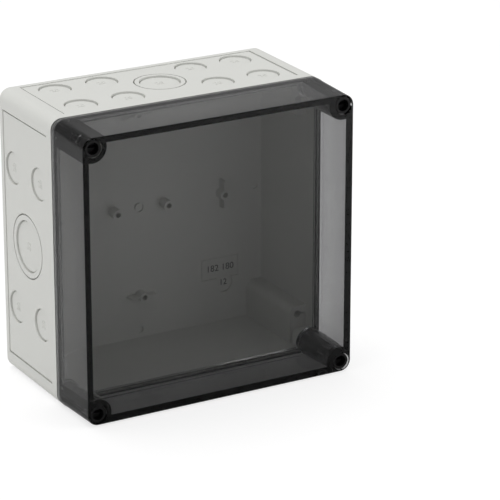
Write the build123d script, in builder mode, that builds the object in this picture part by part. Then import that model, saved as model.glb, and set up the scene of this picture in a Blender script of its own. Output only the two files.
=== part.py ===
"""A shallow wall-mounting enclosure: a grey base with knock-outs, and a clear tinted cover on four screws.

Units are millimetres. The box stands on its bottom wall: X to the right, Y from front to back, +Z up.
The origin is the middle of the box's footprint, so the base rests on Z = 0.
A "setback" is a distance behind the cover's front face.
"""
from build123d import *
import os

# Outer size
width = 182.0
height = 180.0
depth = 111.0
cover_depth = 40.4          # front face to the join between cover and base
corner_radius = 7.0         # upright corners of the base and of the cover's rim
back_edge_radius = 1.0

# Base walls
base_wall = 3.0
back_wall = 3.0
inner_back_fillet = 0.6
base_length = depth - cover_depth

# Cover shell
front_side_taper = 0.8      # the cover narrows a little towards its front face, on each side
front_end_taper = 1.05      # the same at its top and bottom
front_corner_radius = 6.8
front_edge_radius = 0.8
front_thickness = 2.8
cover_wall = 2.6            # side walls beside the rim
front_wall = 4.3            # side walls beside the front face, where they are thickest
rim_depth = 7.6             # band round the join that stands a little proud
rim_step = 0.3
rim_slope = 1.5             # length over which the band rises from the shell
flange_depth = 4.6          # inward flange that holds the seal groove
flange_inset = 5.0          # its inner face, from the outer faces

# Seal, its groove in the cover and the tongue on the base that presses it
groove_outer_inset = 1.2
groove_inner_inset = 3.6
groove_depth = 3.2
tongue_clearance = 0.3      # tongue to the groove's outer side
tongue_width = 1.2
tongue_height = 1.0
seal_gap = 0.1
seal_side_clearance = 0.05

# Cover screws, one at each corner, with a sealing ring under the head
screw_inset = 7.6           # screw axis from both outer faces of the base
corner_post_radius = 9.2
well_radius = 5.5
head_radius = 5.2
head_setback = 0.8
head_length = 7.5
socket_radius = 3.6
socket_depth = 5.0
slot_width = 1.6
slot_depth = 1.5
ring_section = 1.6
running_clearance = 0.05
shoulder_thickness = 3.0    # web in the cover that the head presses down on
shoulder_clearance = 0.3
neck_radius = 2.3
thread_radius = 3.0
thread_chamfer = 0.8
thread_pitch = 2.0
screw_turns = 4
screw_travel = screw_turns * thread_pitch
stop_gap = 0.3
screw_engagement = 7.4      # how far the screw reaches into the base
tube_bore_radius = 3.25
screw_hole_depth = 12.0
screw_boss_radius = 5.0

# Wall-fixing columns in the base, beside the screws
fixing_side_inset = 9.0
fixing_end_inset = 22.0
fixing_hole_radius = 2.4
fixing_boss_radius = 5.2
fixing_end_setback = 52.0
fixing_skin = 1.0           # left at the back end of each hole, for the wall screw to pierce
key_slot_width = 1.4
key_slot_length = 5.4
key_slot_depth = 10.0

# Bosses inside the back wall
boss_height = 7.0
boss_radius = 3.3
boss_hole_radius = 1.75
boss_hole_depth = 8.5
rail_boss_spacing = 35.6
plate_boss_spacing = 116.0
rib_reach = 9.5             # from the boss's axis to the rib's end, at the wall
rib_end_draft = 0.6
rib_drop = 0.8
rib_thickness = 1.2

# Shallow marks moulded in the back wall
mark_depth = 1.2
mark_radius = 2.1
mark_edge_inset = 8.0
gate_mark_radius = 3.2
label_width = 27.0
label_height = 14.5
label_side_inset = 33.5     # middle of the label frame, from the outer faces
label_end_inset = 39.3
stamp_radius = 6.2
stamp_side_inset = 30.6
stamp_end_inset = 28.5
line_mark_width = 0.7       # outlines of the gate's mark and the label frame
line_mark_depth = 0.8

# Knock-out field on each side wall, a sunk panel
panel_back_inset = 4.5      # panel's long sides from the back face and from the join
panel_join_inset = 6.3
panel_end_inset = 11.7      # panel's ends from the wall's ends
panel_sink = 0.3
end_line_width = 1.0        # grooves at the panel's ends
end_line_depth = 2.0
side_line_width = 0.6       # grooves along its long sides
side_line_depth = 0.9
row_inset = 12.5            # rows of small knock-outs, from the panel's long sides
far_column_inset = 29.2     # outer columns on the top and bottom walls, from the wall's ends
column_spacing = 31.3
side_column_inset = 45.4    # columns on the left and right walls, from the wall's ends

# Knock-outs, by the clearance hole that each one opens
hole_20 = 20.5
hole_25 = 25.5
hole_32 = 32.5
hole_40 = 40.5
disc_sink = 1.0             # outer face of a disc below what surrounds it
web_thickness = 0.6         # the part of the wall that breaks
break_line_width = 0.9      # groove round each disc and ring
break_clearance = 0.03

# Places worked out from the sizes above
front_width = width - 2 * front_side_taper
front_height = height - 2 * front_end_taper
screw_x = width / 2 - screw_inset
screw_z = height / 2 - screw_inset
tongue_inset = groove_outer_inset + tongue_clearance
shell_back_setback = cover_depth - rim_depth
flange_setback = cover_depth - flange_depth
back_inner_setback = depth - back_wall
well_depth = head_setback + head_length + ring_section + 2 * running_clearance
shoulder_back_setback = well_depth + shoulder_thickness
shoulder_hole_radius = neck_radius + shoulder_clearance
thread_start_setback = shoulder_back_setback + screw_travel + stop_gap
screw_end_setback = cover_depth + screw_engagement
ring_middle_setback = head_setback + head_length + running_clearance + ring_section / 2
ring_middle_radius = neck_radius + running_clearance + ring_section / 2
screw_hole_radius = thread_radius + running_clearance
fixing_x = width / 2 - fixing_side_inset
fixing_z = height / 2 - fixing_end_inset
label_place = (width / 2 - label_side_inset, label_end_inset - height / 2)
stamp_place = (width / 2 - stamp_side_inset, stamp_end_inset - height / 2)
panel_width = base_length - panel_back_inset - panel_join_inset
row_offset = panel_width / 2 - row_inset
far_column = width / 2 - far_column_inset
side_column = height / 2 - side_column_inset

corners = [(sx * screw_x, sz * screw_z) for sz in (1, -1) for sx in (-1, 1)]
rail_bosses = [(sx * rail_boss_spacing / 2, 0) for sx in (-1, 1)]
side_plate_bosses = [(sx * plate_boss_spacing / 2, 0) for sx in (-1, 1)]
end_plate_bosses = [(0, sz * plate_boss_spacing / 2) for sz in (-1, 1)]


def section(setback):
    """Plane across the box at a setback, facing forwards, with its origin on the box's middle line."""
    return Plane(origin=(0, setback - depth / 2, height / 2), x_dir=(1, 0, 0), z_dir=(0, -1, 0))


def screw_axis_plane(place, setback):
    """The same plane, with its origin on a screw's axis."""
    return section(setback).shift_origin(section(setback).from_local_coords((*place, 0)))


def rib_plane(place, along):
    """Plane of a rib's outline, on the back wall's inner face, with its own Y pointing forwards."""
    foot = section(back_inner_setback).from_local_coords((*place, 0))
    return Plane(origin=foot, x_dir=along, z_dir=Vector(*along).cross(Vector(0, -1, 0)))


# Outer face of each side wall, with its origin in the middle of the knock-out field
field_y = depth / 2 - panel_back_inset - panel_width / 2
wall_planes = {
    "top": Plane(origin=(0, field_y, height), x_dir=(1, 0, 0), z_dir=(0, 0, 1)),
    "bottom": Plane(origin=(0, field_y, 0), x_dir=(1, 0, 0), z_dir=(0, 0, -1)),
    "left": Plane(origin=(-width / 2, field_y, height / 2), x_dir=(0, 0, 1), z_dir=(-1, 0, 0)),
    "right": Plane(origin=(width / 2, field_y, height / 2), x_dir=(0, 0, 1), z_dir=(1, 0, 0)),
}
wall_lengths = {"top": width, "bottom": width, "left": height, "right": height}
level_columns = (-far_column, column_spacing - far_column, far_column - column_spacing, far_column)
upright_columns = (-side_column, side_column)
wall_columns = {
    "top": level_columns,
    "bottom": level_columns,
    "left": upright_columns,
    "right": upright_columns,
}
# Ring and middle disc of the double knock-out on each wall
wall_doubles = {
    "top": (hole_32, hole_25),
    "bottom": (hole_32, hole_25),
    "left": (hole_40, hole_32),
    "right": (hole_40, hole_32),
}


def small_places(wall):
    """Middles of the small knock-outs on a wall, in the wall's own plane."""
    return [(column, row) for row in (-row_offset, row_offset) for column in wall_columns[wall]]


def rim_outline(inset):
    """Rounded outline of the rim, drawn in from the outer faces by an inset."""
    radius = max(corner_radius - inset, 0.5)
    return RectangleRounded(width - 2 * inset, height - 2 * inset, radius)


# Base: an open tray with columns, bosses, panels and knock-out holes
with BuildPart() as base:
    with BuildSketch(section(cover_depth)):
        rim_outline(0)
    extrude(amount=-base_length)
    fillet(base.faces().sort_by(Axis.Y)[-1].edges(), back_edge_radius)
    with BuildSketch(section(cover_depth)):
        rim_outline(base_wall)
    extrude(amount=-(base_length - back_wall), mode=Mode.SUBTRACT)
    fillet(base.faces().filter_by(Axis.Y).sort_by(Axis.Y)[-2].edges(), inner_back_fillet)

    # Tongue that presses into the seal
    with BuildSketch(section(cover_depth)):
        rim_outline(tongue_inset)
        RectangleRounded(
            width - 2 * (tongue_inset + tongue_width),
            height - 2 * (tongue_inset + tongue_width),
            corner_radius - tongue_inset - tongue_width,
            mode=Mode.SUBTRACT,
        )
    extrude(amount=tongue_height)

    # Fixing columns, each joined to the side wall and to the screw boss beside it
    fixing_column_length = back_inner_setback - fixing_end_setback
    with BuildSketch(section(fixing_end_setback)):
        with Locations((fixing_x, fixing_z)):
            Circle(fixing_boss_radius)
            Rectangle(
                width / 2 - fixing_x - base_wall / 2,
                2 * fixing_boss_radius,
                align=(Align.MIN, Align.CENTER),
            )
        with Locations((fixing_x - fixing_boss_radius, fixing_z)):
            Rectangle(
                width / 2 - fixing_x + fixing_boss_radius,
                height / 2 - fixing_z,
                align=(Align.MIN, Align.MIN),
            )
        mirror(about=Plane.YZ)
        mirror(about=Plane.XZ)
        RectangleRounded(
            width - base_wall,
            height - base_wall,
            corner_radius - base_wall / 2,
            mode=Mode.INTERSECT,
        )
    extrude(amount=-fixing_column_length - back_wall / 2)

    # Screw bosses, which reach the join
    with BuildSketch(section(cover_depth)):
        with Locations((screw_x, screw_z)):
            Circle(screw_boss_radius)
            Rectangle(screw_inset, 2 * screw_boss_radius, align=(Align.MIN, Align.CENTER))
            Rectangle(2 * screw_boss_radius, screw_inset, align=(Align.CENTER, Align.MIN))
        mirror(about=Plane.YZ)
        mirror(about=Plane.XZ)
        RectangleRounded(
            width - base_wall,
            height - base_wall,
            corner_radius - base_wall / 2,
            mode=Mode.INTERSECT,
        )
    extrude(amount=-(back_inner_setback - cover_depth) - back_wall / 2)

    # Screw holes
    with BuildSketch(section(cover_depth)):
        with Locations(*corners):
            Circle(screw_hole_radius)
    extrude(amount=-screw_hole_depth, mode=Mode.SUBTRACT)

    # Wall-fixing holes, down to a thin skin, each with a short slot beside its mouth
    with BuildSketch(section(fixing_end_setback)):
        with GridLocations(2 * fixing_x, 2 * fixing_z, 2, 2):
            Circle(fixing_hole_radius)
    extrude(amount=-(depth - fixing_skin - fixing_end_setback), mode=Mode.SUBTRACT)
    with BuildSketch(section(fixing_end_setback)):
        with Locations((fixing_x, fixing_z)):
            Rectangle(key_slot_length, key_slot_width, align=(Align.MIN, Align.CENTER))
        mirror(about=Plane.YZ)
        mirror(about=Plane.XZ)
    extrude(amount=-key_slot_depth, mode=Mode.SUBTRACT)

    # Bosses on the back wall, with ribs along the ones that carry a mounting plate
    with BuildSketch(section(back_inner_setback)):
        with Locations(*rail_bosses, *side_plate_bosses, *end_plate_bosses):
            Circle(boss_radius)
    extrude(amount=boss_height)
    ribs = [(place, (0, 0, 1)) for place in side_plate_bosses]
    ribs += [(place, (1, 0, 0)) for place in end_plate_bosses]
    for place, along in ribs:
        with BuildSketch(rib_plane(place, along)):
            Polygon(
                (-rib_reach, 0),
                (rib_end_draft - rib_reach, boss_height - rib_drop),
                (rib_reach - rib_end_draft, boss_height - rib_drop),
                (rib_reach, 0),
                align=None,
            )
        extrude(amount=rib_thickness / 2, both=True)
    with BuildSketch(section(back_inner_setback - boss_height)):
        with Locations(*rail_bosses, *side_plate_bosses, *end_plate_bosses):
            Circle(boss_hole_radius)
    extrude(amount=-boss_hole_depth, mode=Mode.SUBTRACT)

    # Round marks: four near the walls and a bare insert
    with BuildSketch(section(back_inner_setback)):
        with Locations(
            (width / 2 - mark_edge_inset, 0),
            (mark_edge_inset - width / 2, 0),
            (0, height / 2 - mark_edge_inset),
            (0, mark_edge_inset - height / 2),
        ):
            Circle(mark_radius)
        with Locations(stamp_place):
            Circle(stamp_radius)
    extrude(amount=-mark_depth, mode=Mode.SUBTRACT)

    # Outlines: the gate's mark and a bare label frame, which the insert cuts into
    with BuildSketch(section(back_inner_setback)):
        Circle(gate_mark_radius)
        Circle(gate_mark_radius - line_mark_width, mode=Mode.SUBTRACT)
        with Locations(label_place):
            Rectangle(label_width, label_height)
            Rectangle(
                label_width - 2 * line_mark_width,
                label_height - 2 * line_mark_width,
                mode=Mode.SUBTRACT,
            )
    extrude(amount=-line_mark_depth, mode=Mode.SUBTRACT)

    # Sunk panel on each wall, the grooves along its edges, and the knock-out holes
    for wall, plane in wall_planes.items():
        panel_length = wall_lengths[wall] - 2 * panel_end_inset
        with BuildSketch(plane):
            Rectangle(panel_length, panel_width)
        extrude(amount=-panel_sink, mode=Mode.SUBTRACT)
        with BuildSketch(plane):
            with GridLocations(panel_length - end_line_width, 0, 2, 1):
                Rectangle(end_line_width, panel_width)
        extrude(amount=-end_line_depth, mode=Mode.SUBTRACT)
        with BuildSketch(plane):
            with GridLocations(0, panel_width - side_line_width, 1, 2):
                Rectangle(panel_length, side_line_width)
        extrude(amount=-side_line_depth, mode=Mode.SUBTRACT)
        with BuildSketch(plane):
            Circle(wall_doubles[wall][0] / 2)
            with Locations(*small_places(wall)):
                Circle(hole_20 / 2)
        extrude(amount=-base_wall, mode=Mode.SUBTRACT)


def knockout_plate(plane, hole_diameter, sink, middle_diameter=0):
    """A round plate that breaks out of the wall, or a ring when a middle hole is given.

    Its thin outer step is the web that breaks. The groove beside its thicker step is the break line.
    """
    with BuildPart() as plate:
        with BuildSketch(plane.offset(-base_wall)):
            Circle(hole_diameter / 2 - break_clearance)
        extrude(amount=web_thickness)
        with BuildSketch(plane.offset(-base_wall)):
            Circle(hole_diameter / 2 - break_line_width)
        extrude(amount=base_wall - panel_sink - sink)
        if middle_diameter:
            with BuildSketch(plane):
                Circle(middle_diameter / 2)
            extrude(amount=-base_wall, mode=Mode.SUBTRACT)
    return plate.part


# Space inside the cover, with the corner posts left standing
with BuildPart() as cover_space:
    with BuildSketch(section(front_thickness)):
        RectangleRounded(
            front_width - 2 * front_wall,
            front_height - 2 * front_wall,
            front_corner_radius - front_wall,
        )
    with BuildSketch(section(flange_setback)):
        rim_outline(rim_step + cover_wall)
    loft()
    with BuildSketch(section(flange_setback)):
        rim_outline(flange_inset)
    extrude(amount=-flange_depth)
    with BuildSketch(section(0)):
        with Locations(*corners):
            Circle(corner_post_radius)
    extrude(amount=-cover_depth, mode=Mode.SUBTRACT)

# Cover: a tapered clear shell with a rim, a seal groove and a screw tube in each corner
with BuildPart() as cover:
    with BuildSketch(section(0)):
        RectangleRounded(front_width, front_height, front_corner_radius)
    with BuildSketch(section(shell_back_setback)):
        rim_outline(rim_step)
    loft()
    fillet(cover.faces().sort_by(Axis.Y)[0].edges(), front_edge_radius)
    with BuildSketch(section(shell_back_setback)):
        rim_outline(rim_step)
    with BuildSketch(section(shell_back_setback + rim_slope)):
        rim_outline(0)
    loft()
    with BuildSketch(section(cover_depth)):
        rim_outline(0)
    extrude(amount=rim_depth - rim_slope)
    add(cover_space.part, mode=Mode.SUBTRACT)
    # Seal groove
    with BuildSketch(section(cover_depth)):
        rim_outline(groove_outer_inset)
        RectangleRounded(
            width - 2 * groove_inner_inset,
            height - 2 * groove_inner_inset,
            corner_radius - groove_inner_inset,
            mode=Mode.SUBTRACT,
        )
    extrude(amount=groove_depth, mode=Mode.SUBTRACT)
    # Head well, neck hole and screw tube, one behind the other
    with BuildSketch(section(0)):
        with Locations(*corners):
            Circle(well_radius)
    extrude(amount=-well_depth, mode=Mode.SUBTRACT)
    with BuildSketch(section(0)):
        with Locations(*corners):
            Circle(shoulder_hole_radius)
    extrude(amount=-cover_depth, mode=Mode.SUBTRACT)
    with BuildSketch(section(shoulder_back_setback)):
        with Locations(*corners):
            Circle(tube_bore_radius)
    extrude(amount=-(cover_depth - shoulder_back_setback), mode=Mode.SUBTRACT)

# Seal: a soft band at the bottom of the cover's groove
seal_face_setback = cover_depth - tongue_height - seal_gap
seal_thickness = groove_depth - tongue_height - seal_gap
with BuildPart() as cover_seal:
    with BuildSketch(section(seal_face_setback)):
        rim_outline(groove_outer_inset + seal_side_clearance)
        RectangleRounded(
            width - 2 * (groove_inner_inset - seal_side_clearance),
            height - 2 * (groove_inner_inset - seal_side_clearance),
            corner_radius - groove_inner_inset + seal_side_clearance,
            mode=Mode.SUBTRACT,
        )
    extrude(amount=seal_thickness)


def cover_screw(place):
    """A long screw: socketed head, thin neck through the cover's shoulder, thick threaded shank."""
    with BuildPart() as screw:
        with BuildSketch(screw_axis_plane(place, head_setback)):
            Circle(head_radius)
        extrude(amount=-head_length)
        with BuildSketch(screw_axis_plane(place, head_setback)):
            Circle(neck_radius)
        extrude(amount=-(thread_start_setback - head_setback))
        with BuildSketch(screw_axis_plane(place, thread_start_setback)):
            Circle(thread_radius)
        extrude(amount=-(screw_end_setback - thread_start_setback))
        chamfer(screw.faces().sort_by(Axis.Y)[-1].edges(), thread_chamfer)
        with BuildSketch(screw_axis_plane(place, head_setback)):
            Circle(socket_radius)
        extrude(amount=-socket_depth, mode=Mode.SUBTRACT)
        with BuildSketch(screw_axis_plane(place, head_setback + socket_depth)):
            Rectangle(2 * socket_radius, slot_width)
        extrude(amount=-slot_depth, mode=Mode.SUBTRACT)
    return screw.part


def screw_ring(place):
    """A round sealing ring on the screw's neck, between the head and the cover's shoulder."""
    with BuildPart(screw_axis_plane(place, ring_middle_setback)) as ring:
        Torus(ring_middle_radius, ring_section / 2)
    return ring.part


# Every piece by its name
pieces = {"base": base.part, "cover": cover.part, "cover_seal": cover_seal.part}
for number, place in enumerate(corners, start=1):
    pieces[f"cover_screw_{number}"] = cover_screw(place)
    pieces[f"screw_seal_{number}"] = screw_ring(place)
for wall, plane in wall_planes.items():
    for number, place in enumerate(small_places(wall), start=1):
        disc_plane = plane.shift_origin(plane.from_local_coords((*place, 0)))
        pieces[f"knockout_{wall}_small_{number}"] = knockout_plate(disc_plane, hole_20, disc_sink)
    outer_hole, inner_hole = wall_doubles[wall]
    pieces[f"knockout_{wall}_ring"] = knockout_plate(plane, outer_hole, 0, inner_hole)
    pieces[f"knockout_{wall}_middle"] = knockout_plate(plane, inner_hole, disc_sink)

os.makedirs("parts", exist_ok=True)
for name, piece in pieces.items():
    piece.label = name
    export_step(piece, f"parts/{name}.step")
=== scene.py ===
"""Finishes the wall-mounting enclosure and stands it in soft studio light.

Lengths are metres, in the model's own frame: X to the right, Y from front to back, Z up.
"""
import bpy
import math
from mathutils import Matrix, Vector


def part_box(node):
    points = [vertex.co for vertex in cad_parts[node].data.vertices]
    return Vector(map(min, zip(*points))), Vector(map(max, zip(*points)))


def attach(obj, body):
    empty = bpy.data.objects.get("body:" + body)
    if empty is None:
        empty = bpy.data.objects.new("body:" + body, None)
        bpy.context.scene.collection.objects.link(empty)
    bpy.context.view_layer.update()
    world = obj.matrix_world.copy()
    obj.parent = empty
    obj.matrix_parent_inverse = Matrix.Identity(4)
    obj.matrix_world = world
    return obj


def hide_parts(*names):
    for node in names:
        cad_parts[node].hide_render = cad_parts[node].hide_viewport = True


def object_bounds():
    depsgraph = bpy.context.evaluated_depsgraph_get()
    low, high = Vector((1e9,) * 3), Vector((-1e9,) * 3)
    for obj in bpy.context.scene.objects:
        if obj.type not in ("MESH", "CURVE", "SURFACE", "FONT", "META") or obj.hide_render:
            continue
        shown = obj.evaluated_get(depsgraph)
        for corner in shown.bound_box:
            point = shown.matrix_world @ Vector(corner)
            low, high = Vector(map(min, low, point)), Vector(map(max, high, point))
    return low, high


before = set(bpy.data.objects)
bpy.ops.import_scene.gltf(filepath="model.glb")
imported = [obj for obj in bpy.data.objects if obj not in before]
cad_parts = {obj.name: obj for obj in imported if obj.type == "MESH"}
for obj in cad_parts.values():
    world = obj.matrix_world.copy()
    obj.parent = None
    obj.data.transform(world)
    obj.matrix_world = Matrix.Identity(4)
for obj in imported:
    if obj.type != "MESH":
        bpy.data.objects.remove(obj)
cad_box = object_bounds()
MM = 0.001
merge_distance = 0.001 * MM

# Camera, at the photograph's viewing angle, on the enclosure's left and a little above it
camera_place = Vector((-0.7824, -1.4662, 0.6927))
camera_azimuth = -29.6
camera_elevation = 20.3
camera_lens = 209.3             # millimetres
camera_nearest = 0.05
camera_farthest = 50

# Grey base and knock-outs, and the back wall's numbers in a darker grey that is painted shade, standing in
# for the shade in moulded-in lettering
light_grey = (0.70, 0.705, 0.672)
grey_roughness = 0.48
grey_grain_size = 0.35 * MM
grey_grain_height = 0.01 * MM
painted_shade_grey = (0.16, 0.16, 0.155)
full_shine = 0.5                # how strongly plain plastic and rubber mirror

# Smoke-tinted clear cover
smoke_absorption = 170.0        # per metre of the cover's plastic
smoke_tint = (0.0, 0.0, 0.012)
smoke_reflection = 0.2
cover_index = 1.585
cover_roughness = 0.015
polish_scale = 30               # slow changes of its polish, per metre
shell_smooth_angle = 30

# Black screws and rubber
screw_black = (0.003, 0.003, 0.003)
screw_shine = 0.16
rubber_black = (0.045, 0.045, 0.046)

# Cloudiness of the moulded pieces
cloud_scale = 55                # clouds per metre
gloss_spread = 0.06

# Cover screw
screw_count = 4
screw_sides = 56
screw_smooth_angle = 35
edge_round = 0.25 * MM
edge_segments = 3
edge_angle = 40                 # corners sharper than this are rounded
neck_radius = 2.3 * MM
core_radius = 2.45 * MM
crest_radius = 3.0 * MM
head_length = 7.5 * MM
socket_radius = 3.6 * MM
socket_depth = 5.0 * MM
slot_length = 9.0 * MM          # it notches the socket's wall at both ends
slot_width = 1.6 * MM
slot_depth = 1.5 * MM
thread_start = 20.5 * MM        # from the head's front face
thread_pitch = 2.0 * MM
thread_steps = 40               # in each turn

# Plain numbers on the knock-outs: the size in millimetres of the cable entry that each one opens
number_height = 4.0 * MM
number_relief = 0.2 * MM
digit_share = 0.7               # a digit's height, of the font's size
small_number = "20"
middle_numbers = {"top": "25", "bottom": "25", "left": "32", "right": "32"}

# Plain numbers on the back wall's marks: the enclosure's width and height, and a cavity number
back_wall = 3.0 * MM
mark_depth = 1.2 * MM
label_text = "182 180"
label_place = (57.5 * MM, 39.3 * MM)
label_text_height = 4.3 * MM
stamp_text = "12"
stamp_place = (60.4 * MM, 28.5 * MM)

# Dome and floor, each with a tone for the light that it gives and one for the eye
dome_strength = 0.57
background_strength = 1.0
floor_size = 12
floor_bounce = 0.9
floor_shadow_grey = 0.35
floor_glow = 0.72
floor_share_through = 0.13      # of the floor's glow, where it is seen through the cover

# Light's turns inside the clear cover and among the pale walls
clear_bounces = 16
pale_bounces = 3

# Each wall's reading direction, the direction of its numbers' tops and the way it faces
wall_axes = {
    "top": (Vector((1, 0, 0)), Vector((0, 1, 0)), Vector((0, 0, 1))),
    "bottom": (Vector((1, 0, 0)), Vector((0, -1, 0)), Vector((0, 0, -1))),
    "left": (Vector((0, 0, 1)), Vector((0, 1, 0)), Vector((-1, 0, 0))),
    "right": (Vector((0, 0, 1)), Vector((0, -1, 0)), Vector((1, 0, 0))),
}
back_axes = (Vector((1, 0, 0)), Vector((0, 0, 1)), Vector((0, -1, 0)))


def deselect():
    """Leaves nothing selected."""
    for thing in bpy.context.selected_objects:
        thing.select_set(False)


def choose(thing):
    """Makes one object the only selected and the active one."""
    deselect()
    thing.select_set(True)
    bpy.context.view_layer.objects.active = thing


def apply_place(piece):
    """Puts a piece's place, turn and scale into its mesh."""
    choose(piece)
    bpy.ops.object.transform_apply(location=True, rotation=True, scale=True)


def add_modifier(piece, kind, **settings):
    """Adds a modifier with these settings and applies it."""
    choose(piece)
    modifier = piece.modifiers.new(kind.lower(), kind)
    for name, value in settings.items():
        setattr(modifier, name, value)
    bpy.ops.object.modifier_apply(modifier=modifier.name)


def box_corners(node):
    """Lowest and highest corner of a CAD node's box."""
    low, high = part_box(node)
    return Vector(low), Vector(high)


def dress(piece, material):
    """Gives a piece or a CAD node one material all over."""
    if not piece.material_slots:
        piece.data.materials.append(material)
    for slot in piece.material_slots:
        slot.link = "OBJECT"
        slot.material = material


def new_material(name):
    """A new material, with its nodes and the function that links them."""
    material = bpy.data.materials.new(name)
    material.use_nodes = True
    return material, material.node_tree.nodes, material.node_tree.links.new


def noise(nodes, link, place, scale, detail):
    """A cloudy pattern from 0 to 1."""
    texture = nodes.new("ShaderNodeTexNoise")
    texture.inputs["Scale"].default_value = scale
    texture.inputs["Detail"].default_value = detail
    link(place, texture.inputs["Vector"])
    return texture.outputs["Fac"]


def spread(nodes, link, pattern, low, high):
    """A pattern from 0 to 1 spread from low to high."""
    span = nodes.new("ShaderNodeMapRange")
    span.inputs["To Min"].default_value = low
    span.inputs["To Max"].default_value = high
    link(pattern, span.inputs["Value"])
    return span.outputs["Result"]


def reckon(nodes, link, operation, first, second):
    """A maths node's result from a socket and a second socket or number."""
    node = nodes.new("ShaderNodeMath")
    node.operation = operation
    link(first, node.inputs[0])
    if isinstance(second, (int, float)):
        node.inputs[1].default_value = second
    else:
        link(second, node.inputs[1])
    return node.outputs["Value"]


def moulded(name, colour, roughness, shine, grain_size, grain_height, mottle):
    """Moulded plastic or rubber: a fine spark-eroded grain, and a faint cloudiness in colour and gloss."""
    material, nodes, link = new_material(name)
    shader = nodes["Principled BSDF"]
    shader.inputs["Specular IOR Level"].default_value = shine
    place = nodes.new("ShaderNodeTexCoord").outputs["Object"]

    cloud = noise(nodes, link, place, cloud_scale, detail=5)
    tone = nodes.new("ShaderNodeMix")
    tone.data_type = "RGBA"
    tone.inputs["A"].default_value = (*[c * (1 - mottle) for c in colour], 1)
    tone.inputs["B"].default_value = (*[min(c * (1 + mottle), 1) for c in colour], 1)
    link(cloud, tone.inputs["Factor"])
    link(tone.outputs["Result"], shader.inputs["Base Color"])
    gloss = spread(nodes, link, cloud, roughness - gloss_spread, roughness + gloss_spread)
    link(gloss, shader.inputs["Roughness"])

    bump = nodes.new("ShaderNodeBump")
    bump.inputs["Strength"].default_value = 1
    bump.inputs["Distance"].default_value = grain_height
    link(noise(nodes, link, place, 1 / grain_size, detail=3), bump.inputs["Height"])
    link(bump.outputs["Normal"], shader.inputs["Normal"])
    return material


def smoked():
    """The cover's clear plastic: polished, with a grey smoke tint through its thickness."""
    material, nodes, link = new_material("smoked_clear_plastic")
    shader = nodes["Principled BSDF"]
    shader.inputs["Base Color"].default_value = (1, 1, 1, 1)
    shader.inputs["Transmission Weight"].default_value = 1
    shader.inputs["IOR"].default_value = cover_index
    shader.inputs["Specular Tint"].default_value = (smoke_reflection,) * 3 + (1,)
    place = nodes.new("ShaderNodeTexCoord").outputs["Object"]
    cloud = noise(nodes, link, place, polish_scale, detail=3)
    link(spread(nodes, link, cloud, 0, 2 * cover_roughness), shader.inputs["Roughness"])
    volume = nodes.new("ShaderNodeVolumeAbsorption")
    volume.inputs["Color"].default_value = (*smoke_tint, 1)
    volume.inputs["Density"].default_value = smoke_absorption
    link(volume.outputs["Volume"], nodes["Material Output"].inputs["Volume"])
    return material


def seen_by_eye(nodes, link, share_through):
    """1 for what the eye sees, a share of that through the cover, and 0 for what lights or mirrors.

    A ray that has scattered off the base's inside and then passes through the cover is light too.
    """
    path = nodes.new("ShaderNodeLightPath")
    unscattered = reckon(nodes, link, "LESS_THAN", path.outputs["Diffuse Depth"], 1)
    through = reckon(nodes, link, "MULTIPLY", path.outputs["Is Transmission Ray"], unscattered)
    share = reckon(nodes, link, "MULTIPLY", through, share_through)
    return reckon(nodes, link, "MAXIMUM", path.outputs["Is Camera Ray"], share)


def make_world():
    """A pale dome: white where it is seen, and softer as a light."""
    world = bpy.data.worlds.new("studio")
    world.use_nodes = True
    bpy.context.scene.world = world
    nodes = world.node_tree.nodes
    link = world.node_tree.links.new
    lit = nodes["Background"]
    lit.inputs["Color"].default_value = (1, 1, 1, 1)
    lit.inputs["Strength"].default_value = dome_strength
    seen = nodes.new("ShaderNodeBackground")
    seen.inputs["Color"].default_value = (1, 1, 1, 1)
    seen.inputs["Strength"].default_value = background_strength
    mix = nodes.new("ShaderNodeMixShader")
    link(seen_by_eye(nodes, link, share_through=1), mix.inputs["Fac"])
    link(lit.outputs["Background"], mix.inputs[1])
    link(seen.outputs["Background"], mix.inputs[2])
    link(mix.outputs["Shader"], nodes["World Output"].inputs["Surface"])


def make_floor():
    """A plain pale floor, nearly white where it is seen, that keeps a faint shadow."""
    deselect()
    bpy.ops.mesh.primitive_plane_add(size=floor_size, location=(0, 0, 0))
    floor = bpy.context.active_object
    floor.name = "floor"
    material, nodes, link = new_material("pale_floor")
    bounce = nodes.new("ShaderNodeBsdfDiffuse")
    bounce.inputs["Color"].default_value = (floor_bounce,) * 3 + (1,)
    shadow = nodes.new("ShaderNodeBsdfDiffuse")
    shadow.inputs["Color"].default_value = (floor_shadow_grey,) * 3 + (1,)
    glow = nodes.new("ShaderNodeEmission")
    glow.inputs["Color"].default_value = (1, 1, 1, 1)
    glow.inputs["Strength"].default_value = floor_glow
    both = nodes.new("ShaderNodeAddShader")
    link(shadow.outputs["BSDF"], both.inputs[0])
    link(glow.outputs["Emission"], both.inputs[1])
    mix = nodes.new("ShaderNodeMixShader")
    link(seen_by_eye(nodes, link, floor_share_through), mix.inputs["Fac"])
    link(bounce.outputs["BSDF"], mix.inputs[1])
    link(both.outputs["Shader"], mix.inputs[2])
    link(mix.outputs["Shader"], nodes["Material Output"].inputs["Surface"])
    floor.data.materials.append(material)


def make_lamp(name, place, aim, width, height, power):
    """A soft rectangular lamp that looks at a point, with its power in watts."""
    light = bpy.data.lights.new(name, "AREA")
    light.shape = "RECTANGLE"
    light.size = width
    light.size_y = height
    light.energy = power
    lamp = bpy.data.objects.new(name, light)
    lamp.location = place
    lamp.rotation_euler = (Vector(aim) - Vector(place)).to_track_quat("-Z", "Y").to_euler()
    bpy.context.scene.collection.objects.link(lamp)


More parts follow.
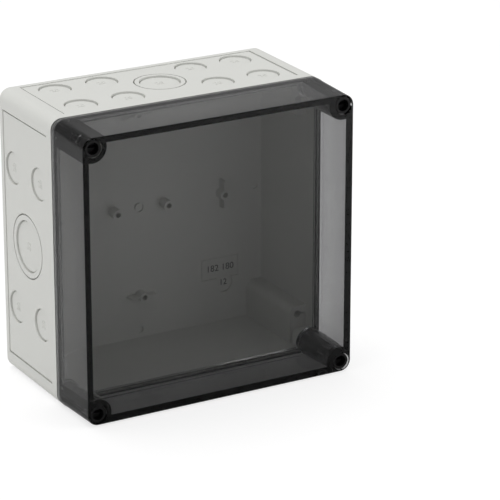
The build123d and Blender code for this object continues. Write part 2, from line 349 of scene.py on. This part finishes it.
def make_camera():
    """A long lens at the photograph's viewing angle."""
    deselect()
    bpy.ops.object.camera_add(
        location=camera_place,
        rotation=(math.radians(90 - camera_elevation), 0, math.radians(camera_azimuth)),
    )
    camera = bpy.context.active_object
    camera.data.lens = camera_lens
    camera.data.clip_start = camera_nearest
    camera.data.clip_end = camera_farthest
    bpy.context.scene.camera = camera


def rod(name, radius, start, end):
    """A round rod along Y from start to end."""
    deselect()
    bpy.ops.mesh.primitive_cylinder_add(
        vertices=screw_sides,
        radius=radius,
        depth=end - start,
        location=(0, (start + end) / 2, 0),
        rotation=(math.radians(90), 0, 0),
    )
    piece = bpy.context.active_object
    piece.name = name
    apply_place(piece)
    return piece


def pick_front_face(piece):
    """Goes into edit mode with the piece's foremost face alone selected."""
    choose(piece)
    foremost = min(piece.data.polygons, key=lambda face: face.center.y).index
    bpy.ops.object.mode_set(mode="EDIT")
    bpy.ops.mesh.select_mode(type="FACE")
    bpy.ops.mesh.select_all(action="DESELECT")
    bpy.ops.object.mode_set(mode="OBJECT")
    piece.data.polygons[foremost].select = True
    bpy.ops.object.mode_set(mode="EDIT")


def make_screw_head(radius):
    """The head, with a round socket and a slot across the socket's floor."""
    head = rod("cover_screw_model", radius, 0, head_length)
    pick_front_face(head)
    bpy.ops.mesh.inset(thickness=radius - socket_radius)
    bpy.ops.mesh.extrude_region_move(TRANSFORM_OT_translate={"value": (0, socket_depth, 0)})
    bpy.ops.object.mode_set(mode="OBJECT")
    deselect()
    bpy.ops.mesh.primitive_cube_add(size=1, location=(0, socket_depth, 0))
    cutter = bpy.context.active_object
    cutter.scale = (slot_length, 2 * slot_depth, slot_width)
    apply_place(cutter)
    add_modifier(head, "BOOLEAN", operation="DIFFERENCE", solver="EXACT", object=cutter)
    bpy.data.objects.remove(cutter)
    return head


def make_thread(start, end):
    """A helical ridge round the shank."""
    deselect()
    bpy.ops.mesh.primitive_circle_add(
        vertices=4,
        radius=crest_radius - core_radius,
        location=(core_radius, start, 0),
        fill_type="NOTHING",
    )
    ridge = bpy.context.active_object
    ridge.name = "thread"
    apply_place(ridge)
    add_modifier(
        ridge,
        "SCREW",
        axis="Y",
        screw_offset=thread_pitch,
        iterations=int((end - start) / thread_pitch),
        steps=thread_steps,
        render_steps=thread_steps,
        use_merge_vertices=True,
    )
    bpy.ops.object.mode_set(mode="EDIT")
    bpy.ops.mesh.select_mode(type="EDGE")
    bpy.ops.mesh.select_all(action="DESELECT")
    bpy.ops.mesh.select_non_manifold()
    bpy.ops.mesh.edge_face_add()
    bpy.ops.mesh.select_all(action="SELECT")
    bpy.ops.mesh.normals_make_consistent(inside=False)
    bpy.ops.object.mode_set(mode="OBJECT")
    return ridge


def make_screw(length, head_radius):
    """A cover screw about the Y axis, head foremost, with a thin neck and a threaded shank."""
    head = make_screw_head(head_radius)
    neck = rod("neck", neck_radius, head_length - edge_round, thread_start)
    shank = rod("shank", core_radius, thread_start - edge_round, length)
    for turned in (head, neck, shank):
        add_modifier(
            turned,
            "BEVEL",
            width=edge_round,
            segments=edge_segments,
            limit_method="ANGLE",
            angle_limit=math.radians(edge_angle),
        )
    ridge = make_thread(thread_start + thread_pitch, length - thread_pitch)
    deselect()
    for piece in (neck, shank, ridge, head):
        piece.select_set(True)
    bpy.context.view_layer.objects.active = head
    bpy.ops.object.join()
    bpy.ops.object.shade_smooth_by_angle(angle=math.radians(screw_smooth_angle))
    return head


def copy_of(model, name, place):
    """A copy of a modelled piece, with its own mesh, moved to a place."""
    piece = model.copy()
    piece.data = model.data.copy()
    piece.name = name
    bpy.context.scene.collection.objects.link(piece)
    piece.location = place
    apply_place(piece)
    return piece


def merged_copy(node, name):
    """A copy of a CAD node with its loose triangles merged and without the node's own tags."""
    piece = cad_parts[node].copy()
    piece.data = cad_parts[node].data.copy()
    piece.name = name
    for key in list(piece.keys()):
        del piece[key]
    piece.parent = None
    bpy.context.scene.collection.objects.link(piece)
    choose(piece)
    bpy.ops.mesh.customdata_custom_splitnormals_clear()
    bpy.ops.object.mode_set(mode="EDIT")
    bpy.ops.mesh.select_all(action="SELECT")
    bpy.ops.mesh.remove_doubles(threshold=merge_distance)
    bpy.ops.object.mode_set(mode="OBJECT")
    return piece


def outer_face_middle(node, out):
    """Middle of a knock-out's outer face."""
    low, high = box_corners(node)
    return (low + high) / 2 + out * abs((high - low).dot(out)) / 2


def raised_number(name, text, height, place, axes, material):
    """A number standing a little proud of a face, with its middle at a place."""
    deselect()
    bpy.ops.object.text_add()
    number = bpy.context.active_object
    number.name = name
    number.data.body = text
    number.data.size = height / digit_share
    number.data.align_x = "CENTER"
    number.data.align_y = "CENTER"
    number.data.extrude = number_relief
    bpy.ops.object.convert(target="MESH")
    number.matrix_world = Matrix.Translation(place) @ Matrix(axes).transposed().to_4x4()
    apply_place(number)
    dress(number, material)
    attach(number, "housing")


# Studio
make_camera()
make_world()
make_floor()
middle = (Vector(cad_box[0]) + Vector(cad_box[1])) / 2
make_lamp("top_lamp", place=(-0.3, 0.5, 1.85), aim=middle, width=1.4, height=1.4, power=14)
make_lamp("left_lamp", place=(-1.9, -0.4, 0.9), aim=middle, width=1.2, height=1.2, power=3.4)
make_lamp("right_lamp", place=(1.2, -1.3, 0.2), aim=middle, width=1.2, height=0.5, power=1.2)
make_lamp("floor_lamp", place=(0.6, -0.6, 0.4), aim=(0.6, -0.6, 0), width=0.4, height=0.4, power=3.5)

scene = bpy.context.scene
scene.view_settings.view_transform = "Standard"
scene.cycles.max_bounces = clear_bounces
scene.cycles.transmission_bounces = clear_bounces
scene.cycles.diffuse_bounces = pale_bounces

# Plastics and rubber
grey = moulded(
    "light_grey_plastic",
    light_grey,
    roughness=grey_roughness,
    shine=full_shine,
    grain_size=grey_grain_size,
    grain_height=grey_grain_height,
    mottle=0.012,
)
# The back wall's numbers are moulded in the same grey plastic; this darker grey is painted shade
painted_shade_plastic = moulded(
    "numbers_painted_shade",
    painted_shade_grey,
    roughness=grey_roughness,
    shine=full_shine,
    grain_size=grey_grain_size,
    grain_height=grey_grain_height,
    mottle=0.1,
)
black = moulded(
    "black_plastic",
    screw_black,
    roughness=0.3,
    shine=screw_shine,
    grain_size=0.25 * MM,
    grain_height=0.005 * MM,
    mottle=0.1,
)
rubber = moulded(
    "black_rubber",
    rubber_black,
    roughness=0.75,
    shine=full_shine,
    grain_size=0.2 * MM,
    grain_height=0.01 * MM,
    mottle=0.1,
)
clear = smoked()

for name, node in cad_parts.items():
    if name.startswith("cover_screw"):
        dress(node, black)
    elif "seal" in name:
        dress(node, rubber)
    else:
        dress(node, grey)

# Numbers on the knock-outs, apart from the rings
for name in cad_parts:
    if name.startswith("knockout") and not name.endswith("ring"):
        wall = name.split("_")[1]
        raised_number(
            f"number_{name.removeprefix('knockout_')}",
            middle_numbers[wall] if name.endswith("middle") else small_number,
            number_height,
            outer_face_middle(name, wall_axes[wall][2]),
            wall_axes[wall],
            grey,
        )

# Numbers on the back wall's marks, in the darker grey of painted shade
inner_back = cad_box[1][1] - back_wall
for name, text, height, (x, z), y in (
    ("number_label", label_text, label_text_height, label_place, inner_back),
    ("number_stamp", stamp_text, number_height, stamp_place, inner_back + mark_depth),
):
    # the numbers' darker grey is painted shade
    raised_number(name, text, height, Vector((x, y, z)), back_axes, painted_shade_plastic)

# Cover screws, modelled once and copied
low, high = box_corners("cover_screw_1")
screw_model = make_screw(length=high.y - low.y, head_radius=(high.x - low.x) / 2)
for number in range(1, screw_count + 1):
    low, high = box_corners(f"cover_screw_{number}")
    place = ((low.x + high.x) / 2, low.y, (low.z + high.z) / 2)
    piece = copy_of(screw_model, f"black_screw_{number}", place)
    dress(piece, black)
    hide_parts(f"cover_screw_{number}")
    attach(piece, f"screw_{number}")
bpy.data.objects.remove(screw_model)

# Clear cover shell
shell = merged_copy("cover", "cover_shell")
dress(shell, clear)
choose(shell)
bpy.ops.object.shade_smooth_by_angle(angle=math.radians(shell_smooth_angle))
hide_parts("cover")
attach(shell, "cover")
